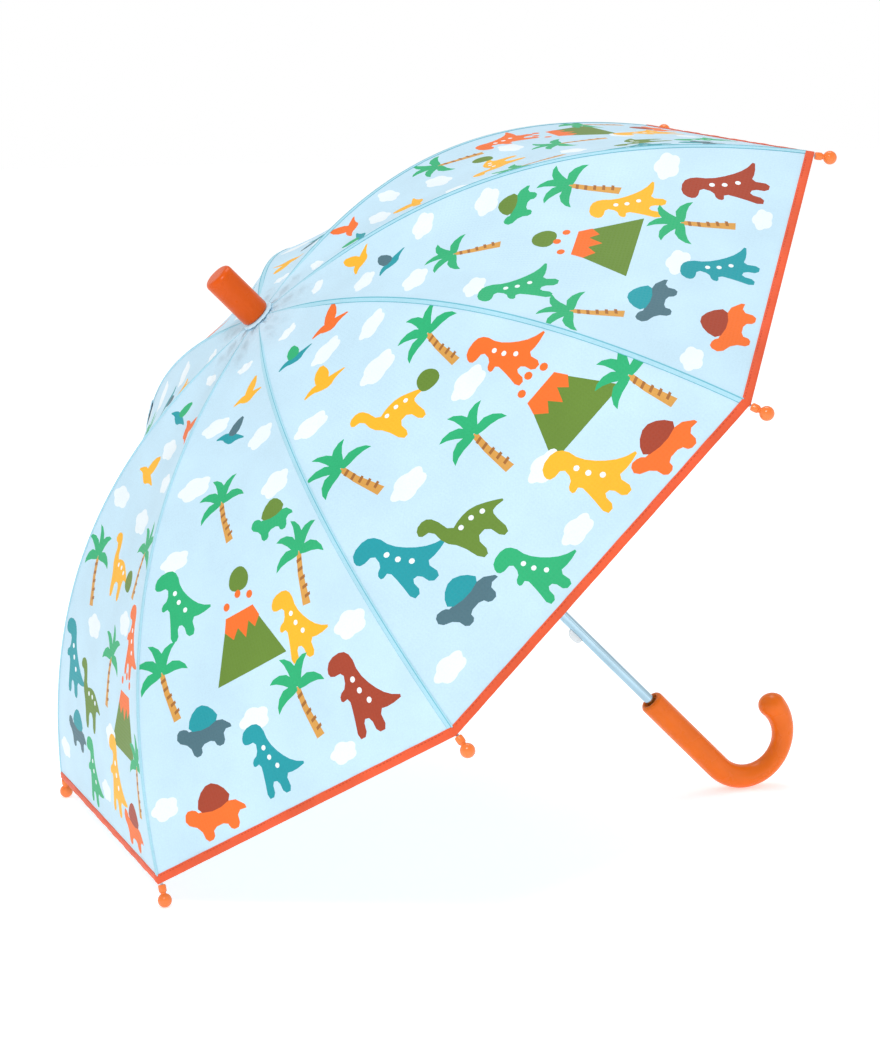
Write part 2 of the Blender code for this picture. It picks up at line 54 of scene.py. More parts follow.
RIBS = 8
SECTOR = 2 * pi / RIBS
HEM_RADIUS, HEM_DEPTH, CURVE_SQUARE = 0.3755, 0.1784, 0.45
CLOTH_INNER, CLOTH, SAG = 0.0115, 0.0008, 0.006
HEM_WIDTH = 0.0065
HINGE_RADIUS, HINGE_DEPTH = 0.008, 0.003
RIB_RADIUS, GAP = 0.00125, 0.0003
FOLD_ANGLE = radians(62.5)
PLEAT_GAP = 0.0008          # left between a side and the middle of a pleat that lies flat
GATHER = 0.0011             # depth of the small folds where the gores meet under the cap
GATHER_RADIUS, GATHER_SPREAD, GATHER_COUNT = 0.035, 0.028, 12
TIP_REACH, BALL_RADIUS = 0.0117, 0.005
SHAFT_RADIUS, SHAFT_WALL, SHAFT_TOP, SHAFT_END = 0.004, 0.0006, 0.036, 0.500
MOUTH_DEPTH, BEND_DEPTH, HOOK_RADIUS = 0.442, 0.525, 0.0325
GRIP_RADIUS, HOOK_THIN, BULB_RADIUS = 0.0096, 0.0082, 0.0104
BULB_START = radians(115)   # angle round the hook where it starts to swell to its bulb
CAP_TOP, CAP_BASE, CAP_RADIUS = 0.0445, 0.0025, 0.0113
CATCH_DEPTHS, CATCH_LENGTH, CATCH_WIDTH = (0.2092, 0.3575), 0.0128, 0.0026

joints = {joint["name"]: joint for joint in frame["joints"]}
down = Vector(joints["runner_slide"]["axis"]).normalized()
hinges = [Vector(joints[f"rib_{k}_fold"]["pos_m"]) for k in range(1, RIBS + 1)]
crown = sum(hinges, Vector()) / RIBS - down * HINGE_DEPTH


def placed(origin, y_axis):
    """Matrix of a frame at the origin with +Z up the shaft and +Y along y_axis."""
    z = -down
    y = Vector(y_axis).normalized()
    matrix = Matrix((y.cross(z), y, z)).transposed().to_4x4()
    matrix.translation = origin
    return matrix


MAIN = placed(crown, (0, 1, 0))
RIB_FRAMES = [placed(hinges[k - 1], joints[f"rib_{k}_fold"]["axis"]) for k in range(1, RIBS + 1)]


# ---------------------------------------------------------------- the canopy's shape

def seam_depth(radius):
    t = radius / HEM_RADIUS
    return HEM_DEPTH * (CURVE_SQUARE * t**2 + (1 - CURVE_SQUARE) * t**3)


def seam_slope(radius):
    t = radius / HEM_RADIUS
    return HEM_DEPTH / HEM_RADIUS * (2 * CURVE_SQUARE * t + 3 * (1 - CURVE_SQUARE) * t**2)


def below_seam(radius, distance):
    slope = seam_slope(radius)
    length = hypot(1, slope)
    return radius - distance * slope / length, seam_depth(radius) + distance / length


def cloth_point(radius, across, lift=0.0):
    """Point of the cloth in a rib's hinge frame; across is 0 on the rib, 0.5 in mid gore."""
    w = abs(across)
    x = radius * (1 - (1 - cos(SECTOR)) * w)
    y = radius * sin(SECTOR) * across
    t = radius / HEM_RADIUS
    sink = SAG * 4 * w * (1 - w) * sin(pi * min(t, 1)) ** 0.8
    near_cap = exp(-((radius - GATHER_RADIUS) / GATHER_SPREAD) ** 2)
    sink += GATHER * near_cap * (1 - cos(GATHER_COUNT * pi * w)) / 2
    slope = seam_slope(radius)
    length = hypot(1, slope)
    inward = 1 - (sink - lift) * slope / length / hypot(x, y)
    return Vector((x * inward - HINGE_RADIUS, y * inward,
                   HINGE_DEPTH - seam_depth(radius) - (sink - lift) / length))


def cloth_normal(radius, across, side):
    """Normal of the cloth on a side of the rib, from a small step along it and one across."""
    step, step_across = 0.0008, 0.008
    low = max(abs(across) - step_across, 0.0)
    high = min(abs(across) + step_across, 0.5)
    along = cloth_point(radius + step, across) - cloth_point(radius - step, across)
    over = cloth_point(radius, side * high) - cloth_point(radius, side * low)
    return along.cross(over).normalized() * side


ARC_STEPS = 240


def seam_arc():
    """Lengths along a seam from the crown, at even steps of the radius."""
    lengths = [0.0]
    for i in range(ARC_STEPS):
        middle = HEM_RADIUS * (i + 0.5) / ARC_STEPS
        lengths.append(lengths[-1] + hypot(1, seam_slope(middle)) * HEM_RADIUS / ARC_STEPS)
    return lengths


arc = seam_arc()
SEAM_LENGTH = arc[-1]


def radius_at(length):
    """Distance from the shaft at this length along a seam from the crown."""
    low, high = 0, ARC_STEPS
    while high - low > 1:
        middle = (low + high) // 2
        if arc[middle] > length:
            high = middle
        else:
            low = middle
    share = (length - arc[low]) / (arc[high] - arc[low])
    return HEM_RADIUS * (low + share) / ARC_STEPS


def arc_at(radius):
    place = min(radius / HEM_RADIUS, 1) * ARC_STEPS
    low = min(int(place), ARC_STEPS - 1)
    return arc[low] + (arc[low + 1] - arc[low]) * (place - low)


def gore_width(length):
    return 2 * radius_at(length) * sin(SECTOR / 2)


def hem_start():
    """Radius of the binding tape's inner edge, over a rib."""
    return HEM_RADIUS - HEM_WIDTH / hypot(1, seam_slope(HEM_RADIUS))


# ---------------------------------------------------------------- materials

class Nodes:
    """Small helper that adds nodes to a material and links them by name."""

    def __init__(self, name):
        self.material = bpy.data.materials.new(name)
        self.material.use_nodes = True
        self.tree = self.material.node_tree
        self.shader = self.tree.nodes["Principled BSDF"]

    def add(self, kind, inputs=None, **settings):
        node = self.tree.nodes.new(kind)
        for key, value in settings.items():
            setattr(node, key, value)
        for key, value in (inputs or {}).items():
            self.put(node.inputs[key], value)
        return node

    def put(self, socket, value):
        if isinstance(value, bpy.types.NodeSocket):
            self.tree.links.new(value, socket)
        else:
            socket.default_value = value

    def mix(self, factor, first, second):
        """Blend two colours; 6, 7 and 2 are the numbers of a Mix node's colour sockets."""
        node = self.add("ShaderNodeMix", data_type="RGBA")
        self.put(node.inputs[0], factor)
        self.put(node.inputs[6], first)
        self.put(node.inputs[7], second)
        return node.outputs[2]

    def noise(self, coords, scale, detail):
        node = self.add("ShaderNodeTexNoise", {"Vector": coords, "Scale": scale, "Detail": detail})
        return node.outputs[0]

    def ramp(self, value, low, high, start=0.0, end=1.0):
        node = self.add("ShaderNodeMapRange", {"Value": value, "From Min": low, "From Max": high,
                                               "To Min": start, "To Max": end})
        return node.outputs[0]


def rgba(colour, scale=1.0):
    return (*(min(1.0, c * scale) for c in colour), 1.0)


def fabric(name, colour, thread=0.00045, tone_and_crease_shade=0.05, crease=0.0006):
    """Plain-weave cloth: two sets of threads along the UV map, soft creases, slight unevenness of
    tone that is partly painted shade in the crease hollows.
    """
    rough, sheen = 0.62, 0.06
    n = Nodes(name)
    uv = n.add("ShaderNodeUVMap", uv_map="cloth").outputs[0]
    coords = n.add("ShaderNodeTexCoord").outputs["Object"]
    count = 1 / thread
    waves = []
    for direction in ("X", "Y"):
        wave = n.add("ShaderNodeTexWave", {"Vector": uv, "Scale": count / 20, "Distortion": 0.6,
                                           "Detail": 1.0}, bands_direction=direction)
        waves.append(wave.outputs["Fac"])
    weave = n.add("ShaderNodeMath", {0: waves[0], 1: waves[1]}, operation="MULTIPLY").outputs[0]
    soft = n.noise(coords, 22.0, 3.0)
    fine = n.noise(coords, 900.0, 2.0)
    # partly random tone, partly painted shade: this follows the crease bump's noise, so the cloth is
    # darker where the creases sink
    shade = n.ramp(soft, 0.3, 0.7, 1 - tone_and_crease_shade, 1 + tone_and_crease_shade / 2)
    speck = n.ramp(fine, 0.3, 0.7, 0.97, 1.03)
    both = n.add("ShaderNodeMath", {0: shade, 1: speck}, operation="MULTIPLY").outputs[0]
    tint = n.add("ShaderNodeVectorMath", {0: colour, "Scale": both}, operation="SCALE").outputs[0]
    n.put(n.shader.inputs["Base Color"], tint)
    n.put(n.shader.inputs["Roughness"], n.ramp(weave, 0, 1, rough - 0.06, rough + 0.06))
    n.put(n.shader.inputs["Sheen Weight"], sheen)
    n.put(n.shader.inputs["Sheen Roughness"], 0.4)
    n.put(n.shader.inputs["Specular IOR Level"], 0.25)
    creases = n.add("ShaderNodeBump", {"Height": soft, "Distance": crease, "Strength": 0.6})
    threads = n.add("ShaderNodeBump", {"Height": weave, "Distance": 0.00008, "Strength": 0.7,
                                       "Normal": creases.outputs[0]})
    n.put(n.shader.inputs["Normal"], threads.outputs[0])
    return n.material


def plastic(name, colour, rough=0.34, alpha=1.0, specular=0.32):
    """Moulded plastic: fine texture, slow changes of gloss and faint rubbed patches."""
    grain = 0.00003
    n = Nodes(name)
    coords = n.add("ShaderNodeTexCoord").outputs["Object"]
    slow = n.noise(coords, 60.0, 3.0)
    fine = n.noise(coords, 1500.0, 2.0)
    n.put(n.shader.inputs["Base Color"],
          n.mix(n.ramp(slow, 0.35, 0.75), rgba(colour), rgba(colour, 0.93)))
    n.put(n.shader.inputs["Roughness"], n.ramp(slow, 0.3, 0.7, rough - 0.04, rough + 0.06))
    bump = n.add("ShaderNodeBump", {"Height": fine, "Distance": grain, "Strength": 0.5})
    n.put(n.shader.inputs["Normal"], bump.outputs[0])
    n.put(n.shader.inputs["Specular IOR Level"], specular)
    n.put(n.shader.inputs["Alpha"], alpha)
    return n.material


def metal(name, colour, rough, brushed=0.0):
    """Plated steel: fine drawing marks and a little cloudiness."""
    n = Nodes(name)
    coords = n.add("ShaderNodeTexCoord").outputs["Object"]
    slow = n.noise(coords, 45.0, 4.0)
    fine = n.noise(coords, 1200.0, 2.0)
    n.put(n.shader.inputs["Base Color"],
          n.mix(n.ramp(slow, 0.35, 0.7), rgba(colour), rgba(colour, 0.9)))
    n.put(n.shader.inputs["Metallic"], 1.0)
    n.put(n.shader.inputs["Roughness"], n.ramp(slow, 0.3, 0.7, rough, rough + 0.08))
    bump = n.add("ShaderNodeBump", {"Height": fine, "Distance": 0.00003,
                                    "Strength": 0.3 + brushed})
    n.put(n.shader.inputs["Normal"], bump.outputs[0])
    return n.material


SKY = (0.53, 0.735, 0.865)
COLOURS = {
    "cloth": SKY,
    "white": (0.80, 0.88, 0.92),
    "leaf": (0.02, 0.42, 0.17),
    "olive": (0.13, 0.24, 0.03),
    "teal": (0.01, 0.31, 0.36),
    "yellow": (0.92, 0.46, 0.02),
    "orange": (0.86, 0.16, 0.02),
    "brown": (0.36, 0.05, 0.02),
    "slate": (0.07, 0.16, 0.20),
    "trunk": (0.66, 0.33, 0.07),
    "band": (0.36, 0.14, 0.03),
}
PRINT_ORDER = list(COLOURS)
printed = [fabric(f"print_{name}", colour) for name, colour in COLOURS.items()]
seam_cloth = fabric("seam_fold", (0.39, 0.67, 0.79), crease=0.0003)
# painted shade: a darker copy of the seam colour for the seam's steep lip and fold step
seam_painted_shade = fabric("seam_edge_painted_shade", (0.14, 0.46, 0.58), crease=0.0003)
hem_cloth = fabric("hem_binding", (0.78, 0.105, 0.034), thread=0.0007, tone_and_crease_shade=0.14, crease=0.0004)
thread_cloth = fabric("hem_stitch", (0.58, 0.06, 0.02), crease=0.0001)
orange = plastic("orange_moulding", (0.93, 0.165, 0.003), rough=0.25)
cap_orange = plastic("cap_moulding", (0.71, 0.092, 0.001), rough=0.26, specular=0.22)
ball_orange = plastic("ball_moulding", (0.90, 0.20, 0.03), rough=0.14, specular=0.6)
white = plastic("white_moulding", (0.88, 0.88, 0.86), rough=0.42)
clear = plastic("clear_moulding", (0.86, 0.90, 0.94), rough=0.2, alpha=0.55)
chrome = metal("chrome_plate", (0.47, 0.66, 0.78), 0.12)
zinc = metal("zinc_plate", (0.60, 0.62, 0.65), 0.3, 0.2)


# ---------------------------------------------------------------- mesh helpers

def mesh_piece(name, work, materials, matrix=None, smooth=40):
    """Turn a bmesh into an object with its materials, shaded smooth up to an angle."""
    mesh = bpy.data.meshes.new(name)
    work.to_mesh(mesh)
    work.free()
    obj = bpy.data.objects.new(name, mesh)
    bpy.context.scene.collection.objects.link(obj)
    for material in materials:
        mesh.materials.append(material)
    if matrix is not None:
        mesh.transform(matrix)
    mesh.shade_smooth()
    if smooth:
        mesh.set_sharp_from_angle(angle=radians(smooth))
    return obj


def rings_mesh(rings, close_ends=True):
    """Skin a list of rings of points; a ring of one point is a pole."""
    work = bmesh.new()
    made = [[work.verts.new(point) for point in ring] for ring in rings]
    for a, b in zip(made, made[1:]):
        count = max(len(a), len(b))
        for i in range(count):
            j = (i + 1) % count
            if len(a) == 1:
                work.faces.new((a[0], b[j], b[i]))
            elif len(b) == 1:
                work.faces.new((a[i], a[j], b[0]))
            else:
                work.faces.new((a[i], a[j], b[j], b[i]))
    if close_ends:
        for ring in (made[0], made[-1]):
            if len(ring) > 2:
                work.faces.new(ring)
    bmesh.ops.recalc_face_normals(work, faces=work.faces)
    return work


def lathe(profile, steps):
    """Turn (radius, height) points about +Z; a radius of 0 is a pole."""
    rings = []
    for radius, height in profile:
        if radius == 0:
            rings.append([(0, 0, height)])
        else:
            turns = [2 * pi * i / steps for i in range(steps)]
            rings.append([(radius * cos(turn), radius * sin(turn), height) for turn in turns])
    return rings_mesh(rings, close_ends=False)


def sweep(stations, steps):
    """Round bar in the XZ plane through (centre, direction angle, radius) stations."""
    rings = []
    for (x, z), angle, radius in stations:
        side = Vector((cos(angle), 0, -sin(angle)))
        rings.append([Vector((x, 0, z)) + side * radius * cos(2 * pi * i / steps)
                      + Vector((0, radius * sin(2 * pi * i / steps), 0)) for i in range(steps)])
    return rings_mesh(rings)


def rounded(points, rounds):
    """Cut the corners of a closed outline a few times, so that it turns smoothly."""
    for _ in range(rounds):
        cut = []
        for i, (x, y) in enumerate(points):
            nx, ny = points[(i + 1) % len(points)]
            cut.append((0.75 * x + 0.25 * nx, 0.75 * y + 0.25 * ny))
            cut.append((0.25 * x + 0.75 * nx, 0.25 * y + 0.75 * ny))
        points = cut
    return points


# ---------------------------------------------------------------- the printed pattern

def circle(cx, cy, radius, count):
    turns = [2 * pi * i / count for i in range(count)]
    return [(cx + radius * cos(turn), cy + radius * sin(turn)) for turn in turns]


def cloud():
    points = []
    count = 30
    for i in range(count):
        a = 2 * pi * i / count
        bulge = 0.45 + 0.12 * abs(sin(2.5 * a + 0.4))
        points.append((bulge * cos(a), 0.62 * bulge * sin(a)))
    return [("white", points)]


def leaf(length, turn):
    """Plain curved palm leaf from the top of the trunk."""
    shape = [(0, 0.03), (0.14, 0.13), (0.32, 0.18), (0.50, 0.13), (0.64, 0.02), (0.70, -0.10),
             (0.54, -0.05), (0.36, -0.04), (0.18, -0.06), (0.04, -0.06)]
    flip = -1 if abs(turn) > pi / 2 else 1
    return [(length * (x * cos(turn) - flip * y * sin(turn)) + 0.02,
             length * (x * sin(turn) + flip * y * cos(turn)) + 0.18) for x, y in shape]


def palm():
    shapes = [("trunk", [(-0.02, 0.18), (0.06, 0.18), (0.05, -0.10), (0.10, -0.50), (-0.03, -0.50),
                         (-0.04, -0.10)])]
    half = 0.045
    for i in range(5):
        y = 0.08 - 0.115 * i
        x = 0.01 + 0.02 * max(0, i - 1)
        shapes.append(("band", [(x - half, y), (x + half, y + 0.02), (x + half, y - 0.02),
                                (x - half, y - 0.04)]))
    for turn in (-10, 48, 95, 140, 192):
        shapes.append(("leaf", leaf(0.62, radians(turn))))
    return shapes


def volcano():
    cone = [(-0.50, -0.42), (-0.20, 0.20), (0.20, 0.20), (0.50, -0.42)]
    lava = [(-0.22, 0.18), (-0.20, 0.24), (0.20, 0.24), (0.26, 0.10), (0.17, 0.00), (0.10, 0.10),
            (0.02, -0.06), (-0.06, 0.08), (-0.15, -0.02), (-0.25, 0.10)]
    shapes = [("olive", cone), ("orange", lava)]
    for x, y in ((-0.16, 0.36), (0.02, 0.44), (0.18, 0.37)):
        shapes.append(("orange", circle(x, y, 0.045, 10)))
    return shapes


def bush():
    body = [(-0.45, -0.25), (-0.30, 0.35), (0.20, 0.45), (0.48, 0.0), (0.25, -0.42)]
    return [("olive", rounded(body, 2))]


def spots(places):
    return [("white", circle(x, y, 0.034, 9)) for x, y in places]


def long_neck(colour):
    body = [(-0.50, 0.34), (-0.45, 0.46), (-0.30, 0.48), (-0.22, 0.38), (-0.20, 0.10),
            (-0.02, 0.14), (0.16, 0.12), (0.34, 0.00), (0.50, -0.14), (0.30, -0.10), (0.25, -0.16),
            (0.24, -0.44), (0.12, -0.44), (0.10, -0.20), (-0.08, -0.20), (-0.10, -0.44),
            (-0.22, -0.44), (-0.26, -0.12), (-0.36, 0.06), (-0.34, 0.30)]
    return [(colour, rounded(body, 1))] + spots(((-0.10, 0.04), (0.06, 0.03), (0.20, -0.02)))


def upright(colour):
    body = [(-0.38, 0.36), (-0.30, 0.48), (-0.10, 0.50), (0.00, 0.40), (0.02, 0.20), (0.14, 0.00),
            (0.30, -0.16), (0.50, -0.24), (0.28, -0.28), (0.12, -0.26), (0.14, -0.48),
            (0.00, -0.48), (-0.02, -0.30), (-0.12, -0.28), (-0.14, -0.46), (-0.27, -0.46),
            (-0.22, -0.20), (-0.20, 0.00), (-0.32, -0.02), (-0.31, 0.07), (-0.20, 0.12),
            (-0.17, 0.28), (-0.34, 0.28)]
    return [(colour, rounded(body, 1))] + spots(((-0.08, 0.16), (-0.04, 0.02), (0.04, -0.12)))


def domed(colour, shell):
    body = [(-0.50, -0.02), (-0.44, 0.12), (-0.30, 0.10), (-0.24, 0.02), (0.28, 0.04),
            (0.50, -0.16), (0.30, -0.14), (0.28, -0.32), (0.14, -0.32), (0.10, -0.20),
            (-0.12, -0.20), (-0.14, -0.32), (-0.28, -0.32), (-0.30, -0.14)]
    top = [(-0.27, 0.04), (-0.18, 0.22), (0.02, 0.32), (0.20, 0.22), (0.30, 0.03), (0.02, -0.03)]
    return [(colour, rounded(body, 1)), (shell, rounded(top, 1))]


def bird(colour, wing):
    body = [(-0.50, 0.06), (-0.24, 0.16), (-0.06, 0.12), (0.16, 0.02), (0.50, -0.20),
            (0.20, -0.14), (0.00, -0.20), (-0.18, -0.08), (-0.26, 0.02)]
    span = [(-0.14, 0.08), (0.02, 0.36), (0.30, 0.46), (0.26, 0.14), (0.10, -0.02)]
    return [(colour, rounded(body, 1)), (wing, rounded(span, 1))]


# name, seam length from the crown (m), place across (-1 to 1), size (m), tilt (degrees)
SCATTER = (
    (
        (cloud(), 0.062, 0.0, 0.016, 0), (bird("teal", "leaf"), 0.100, -0.35, 0.034, 10),
        (bird("orange", "orange"), 0.106, 0.50, 0.038, -15), (cloud(), 0.126, 0.05, 0.026, 0),
        (cloud(), 0.150, 0.62, 0.024, 0), (bird("yellow", "yellow"), 0.152, -0.30, 0.040, 5),
        (cloud(), 0.178, -0.70, 0.026, 0), (cloud(), 0.186, 0.18, 0.030, 0),
        (palm(), 0.213, 0.62, 0.056, -8), (long_neck("yellow"), 0.228, -0.06, 0.054, 0),
        (palm(), 0.240, -0.66, 0.058, 6), (cloud(), 0.262, 0.42, 0.028, 0),
        (bush(), 0.232, 0.30, 0.022, 0), (upright("orange"), 0.270, 0.74, 0.056, 0),
        (cloud(), 0.282, -0.38, 0.028, 0), (palm(), 0.304, 0.12, 0.058, -6),
        (upright("teal"), 0.318, -0.70, 0.062, 0), (volcano(), 0.326, 0.58, 0.068, 0),
        (long_neck("olive"), 0.338, -0.28, 0.058, 0), (cloud(), 0.352, 0.22, 0.026, 0),
        (palm(), 0.364, 0.86, 0.056, 5), (upright("yellow"), 0.380, 0.34, 0.062, 0),
        (domed("slate", "teal"), 0.372, -0.56, 0.052, 0), (cloud(), 0.398, -0.84, 0.024, 0),
        (cloud(), 0.400, 0.06, 0.024, 0), (upright("leaf"), 0.396, -0.20, 0.054, 0),
        (domed("orange", "brown"), 0.404, 0.64, 0.056, 0),
    ),
    (
        (cloud(), 0.060, 0.1, 0.015, 0), (bird("yellow", "yellow"), 0.098, 0.38, 0.036, 12),
        (cloud(), 0.112, -0.40, 0.024, 0), (bird("teal", "slate"), 0.130, 0.0, 0.036, -8),
        (cloud(), 0.150, 0.60, 0.026, 0), (cloud(), 0.162, -0.55, 0.028, 0),
        (palm(), 0.196, -0.10, 0.054, 8), (cloud(), 0.200, 0.66, 0.028, 0),
        (domed("leaf", "olive"), 0.224, 0.52, 0.046, 0), (cloud(), 0.216, -0.68, 0.024, 0),
        (upright("leaf"), 0.250, -0.58, 0.058, 0), (bush(), 0.256, 0.02, 0.024, 0),
        (palm(), 0.272, 0.62, 0.058, -6), (volcano(), 0.296, -0.02, 0.068, 0),
        (palm(), 0.304, -0.76, 0.056, 4), (upright("yellow"), 0.310, 0.44, 0.056, 0),
        (cloud(), 0.330, 0.80, 0.028, 0), (domed("slate", "teal"), 0.346, -0.48, 0.054, 0),
        (palm(), 0.362, 0.26, 0.058, 8), (upright("brown"), 0.376, 0.66, 0.064, 0),
        (cloud(), 0.358, -0.10, 0.026, 0), (upright("teal"), 0.388, -0.06, 0.056, 0),
        (domed("orange", "brown"), 0.402, -0.52, 0.060, 0), (cloud(), 0.408, 0.38, 0.022, 0),
        (cloud(), 0.386, -0.86, 0.024, 0),
    ),
)


def counter_clockwise(ring):
    doubled = sum(x * ny - nx * y for (x, y), (nx, ny) in zip(ring, ring[1:] + ring[:1]))
    return ring if doubled > 0 else ring[::-1]


def gore_pattern(scatter):
    """Printed shapes of a gore as (colour, outline), in metres from its crown end."""
    shapes = []
    for motif, length, place, size, tilt in scatter:
        cx = place * gore_width(length) / 2
        turn = radians(tilt)
        for colour, outline in motif:
            ring = [(cx + size * (x * cos(turn) - y * sin(turn)),
                     -length + size * (x * sin(turn) + y * cos(turn))) for x, y in outline]
            shapes.append((colour, counter_clockwise(ring)))
    return shapes


def gore_triangles(scatter):
    """Cut a flat gore into triangles along its printed shapes: points and (corners, colour)."""
    start, end = arc_at(CLOTH_INNER), SEAM_LENGTH - HEM_WIDTH * 0.55
    rows, spacing = 40, 0.013
    lengths = [start + (end - start) * i / rows for i in range(rows + 1)]
    points, edges, faces = [], [], []

    def outline(ring):
        base = len(points)
        points.extend(Vector(p) for p in ring)
        return list(range(base, base + len(ring)))

    border = [(-gore_width(s) / 2, -s) for s in lengths]
    faces.append(outline(border + [(-x, y) for x, y in reversed(border)]))
    middle = outline([(0.0, -s) for s in lengths])
    edges += list(zip(middle, middle[1:]))
    for s in lengths[1:-1]:
        count = max(1, round(gore_width(s) / 2 / spacing))
        for side in (-1, 1):
            for i in range(1, count):
                points.append(Vector((side * gore_width(s) / 2 * i / count, -s)))
    colours = [0]
    for colour, ring in gore_pattern(scatter):
        faces.append(outline(ring))
        colours.append(PRINT_ORDER.index(colour))
    flat_points, _, cut, _, _, owners_of = delaunay_2d_cdt(points, edges, faces, 0, 1e-7, True)
    triangles = []
    for corners, owners in zip(cut, owners_of):
        if 0 in owners:
            triangles.append((corners, colours[max(owners)]))
    return flat_points, triangles


# ---------------------------------------------------------------- canopy pieces

def cloth_vertex(work, layers, seam, side, point):
    """The vertex for a point of the flat gore; both sides of the rib share those on its seam."""
    length = min(max(-point.y, 0), SEAM_LENGTH)
    radius = radius_at(length)
    across = side * 0.5 + point.x / (2 * radius * sin(SECTOR / 2))
    across = side * min(max(side * across, 0), 0.5)
    on_seam = abs(across) < 1e-5
    key = round(length, 6)
    if on_seam and key in seam:
        return seam[key]
    vert = work.verts.new(cloth_point(radius, across))
    vert[layers[0]] = radius
    vert[layers[1]] = across
    if on_seam:
        seam[key] = vert
    return vert


def cloth_mesh(number, gores):
    """The cloth that one rib carries: the right half of one gore and the left half of the next."""
    work = bmesh.new()
    layers = [work.verts.layers.float.new(name) for name in ("radius", "across")]
    uv = work.loops.layers.uv.new("cloth")
    seam = {}
    for side in (-1, 1):
        points, triangles = gores[(number + (side < 0)) % 2]
        made = {}
        for corners, colour in triangles:
            if sum(points[corner].x for corner in corners) * side > 0:
                continue
            for corner in corners:
                if corner not in made:
                    made[corner] = cloth_vertex(work, layers, seam, side, points[corner])
            ring = [made[corner] for corner in corners]
            if len(set(ring)) < 3:
                continue
            try:
                face = work.faces.new(ring)
            except ValueError:
                continue
            face.material_index = colour
            for loop, corner in zip(face.loops, corners):
                loop[uv].uv = points[corner]
    bmesh.ops.recalc_face_normals(work, faces=work.faces)
    return work


def pleat_plane(side):
    """The plane between two folded ribs, carried back to where the cloth hangs when open.

    Returns its normal and a point on it in the rib's hinge frame."""
    half = SECTOR / 2
    normal = Vector((-sin(half), side * cos(half), 0))
    point = Vector((-HINGE_RADIUS, 0, 0)) - PLEAT_GAP * normal
    back = Matrix.Rotation(-FOLD_ANGLE, 3, "Y")
    return back @ normal, back @ point


def split(work, which):
    """Keep the part of a mesh between both pleat planes (0), or past the one on a side (-1, 1)."""
    for side in (-1, 1):
        if which in (0, side):
            normal, point = pleat_plane(side)
            geom = list(work.verts) + list(work.edges) + list(work.faces)
            bmesh.ops.bisect_plane(work, geom=geom, plane_co=point, plane_no=normal, dist=1e-6,
                                   clear_outer=which == 0, clear_inner=which == side)


def set_normals(obj, turn):
    """Give the cloth the true surface's normals, so that its parts join without a trace."""
    mesh = obj.data
    radius = mesh.attributes["radius"].data
    across = mesh.attributes["across"].data
    normals = [Vector((0, 0, 1))] * len(mesh.loops)
    for face in mesh.polygons:
        middle = sum(across[v].value for v in face.vertices)
        side = 1 if middle >= 0 else -1
        made = [turn @ cloth_normal(radius[v].value, across[v].value, side) for v in face.vertices]
        flip = -1 if made[0].dot(face.normal) < 0 else 1
        for loop, normal in zip(face.loop_indices, made):
            normals[loop] = normal * flip
    mesh.normals_split_custom_set(normals)


def hem_mesh():
    """Binding tape folded over the cloth's edge, as a closed band with a rounded lip."""
    start = hem_start()
    section = [(0.0, 0.00045), (0.25, 0.00062), (0.75, 0.00062), (0.93, 0.00050), (1.0, 0.0),
               (0.93, -0.00050), (0.75, -0.00062), (0.25, -0.00062), (0.0, -0.00045)]
    count = 48
    work = bmesh.new()
    uv = work.loops.layers.uv.new("cloth")
    rings = []
    for i in range(count + 1):
        across = -0.5 + i / count
        ripple = 0.00014 * sin(across * 2 * pi * 31) + 0.00016 * cos(across * 2 * pi * 7)
        ring = []
        for share, lift in section:
            radius = start + (HEM_RADIUS - start) * share
            ring.append(work.verts.new(cloth_point(radius, across, lift + ripple)))
        rings.append(ring)
    wide = 2 * HEM_RADIUS * sin(SECTOR / 2)
    for i, (a, b) in enumerate(zip(rings, rings[1:])):
        for j in range(len(section)):
            k = (j + 1) % len(section)
            face = work.faces.new((a[j], b[j], b[k], a[k]))
            places = ((i, j), (i + 1, j), (i + 1, j + 1), (i, j + 1))
            for loop, (u, v) in zip(face.loops, places):
                loop[uv].uv = (u / count * wide, v / len(section) * 2 * HEM_WIDTH)
    bmesh.ops.recalc_face_normals(work, faces=work.faces)
    return work


def stitch_mesh():
    """Row of stitches along the inner edge of the binding tape, on the outside."""
    radius = hem_start() + (HEM_RADIUS - hem_start()) * 0.22
    half, edge_drop = 0.00022, 0.0001
    end_lift, middle_lift = 0.00062, 0.00086
    work = bmesh.new()
    work.loops.layers.uv.new("cloth")
    count = 90
    for i in range(count):
        low = -0.5 + (i + 0.2) / count
        high = low + 0.62 / count
        ends = []
        for across, lift in ((low, end_lift), ((low + high) / 2, middle_lift), (high, end_lift)):
            outer = cloth_point(radius + half, across, lift - edge_drop)
            top = cloth_point(radius, across, lift)
            inner = cloth_point(radius - half, across, lift - edge_drop)
            ends.append([work.verts.new(point) for point in (outer, top, inner)])
        for a, b in zip(ends, ends[1:]):
            for j in (0, 1):
                work.faces.new((a[j], b[j], b[j + 1], a[j + 1]))
    bmesh.ops.recalc_face_normals(work, faces=work.faces)
    return work


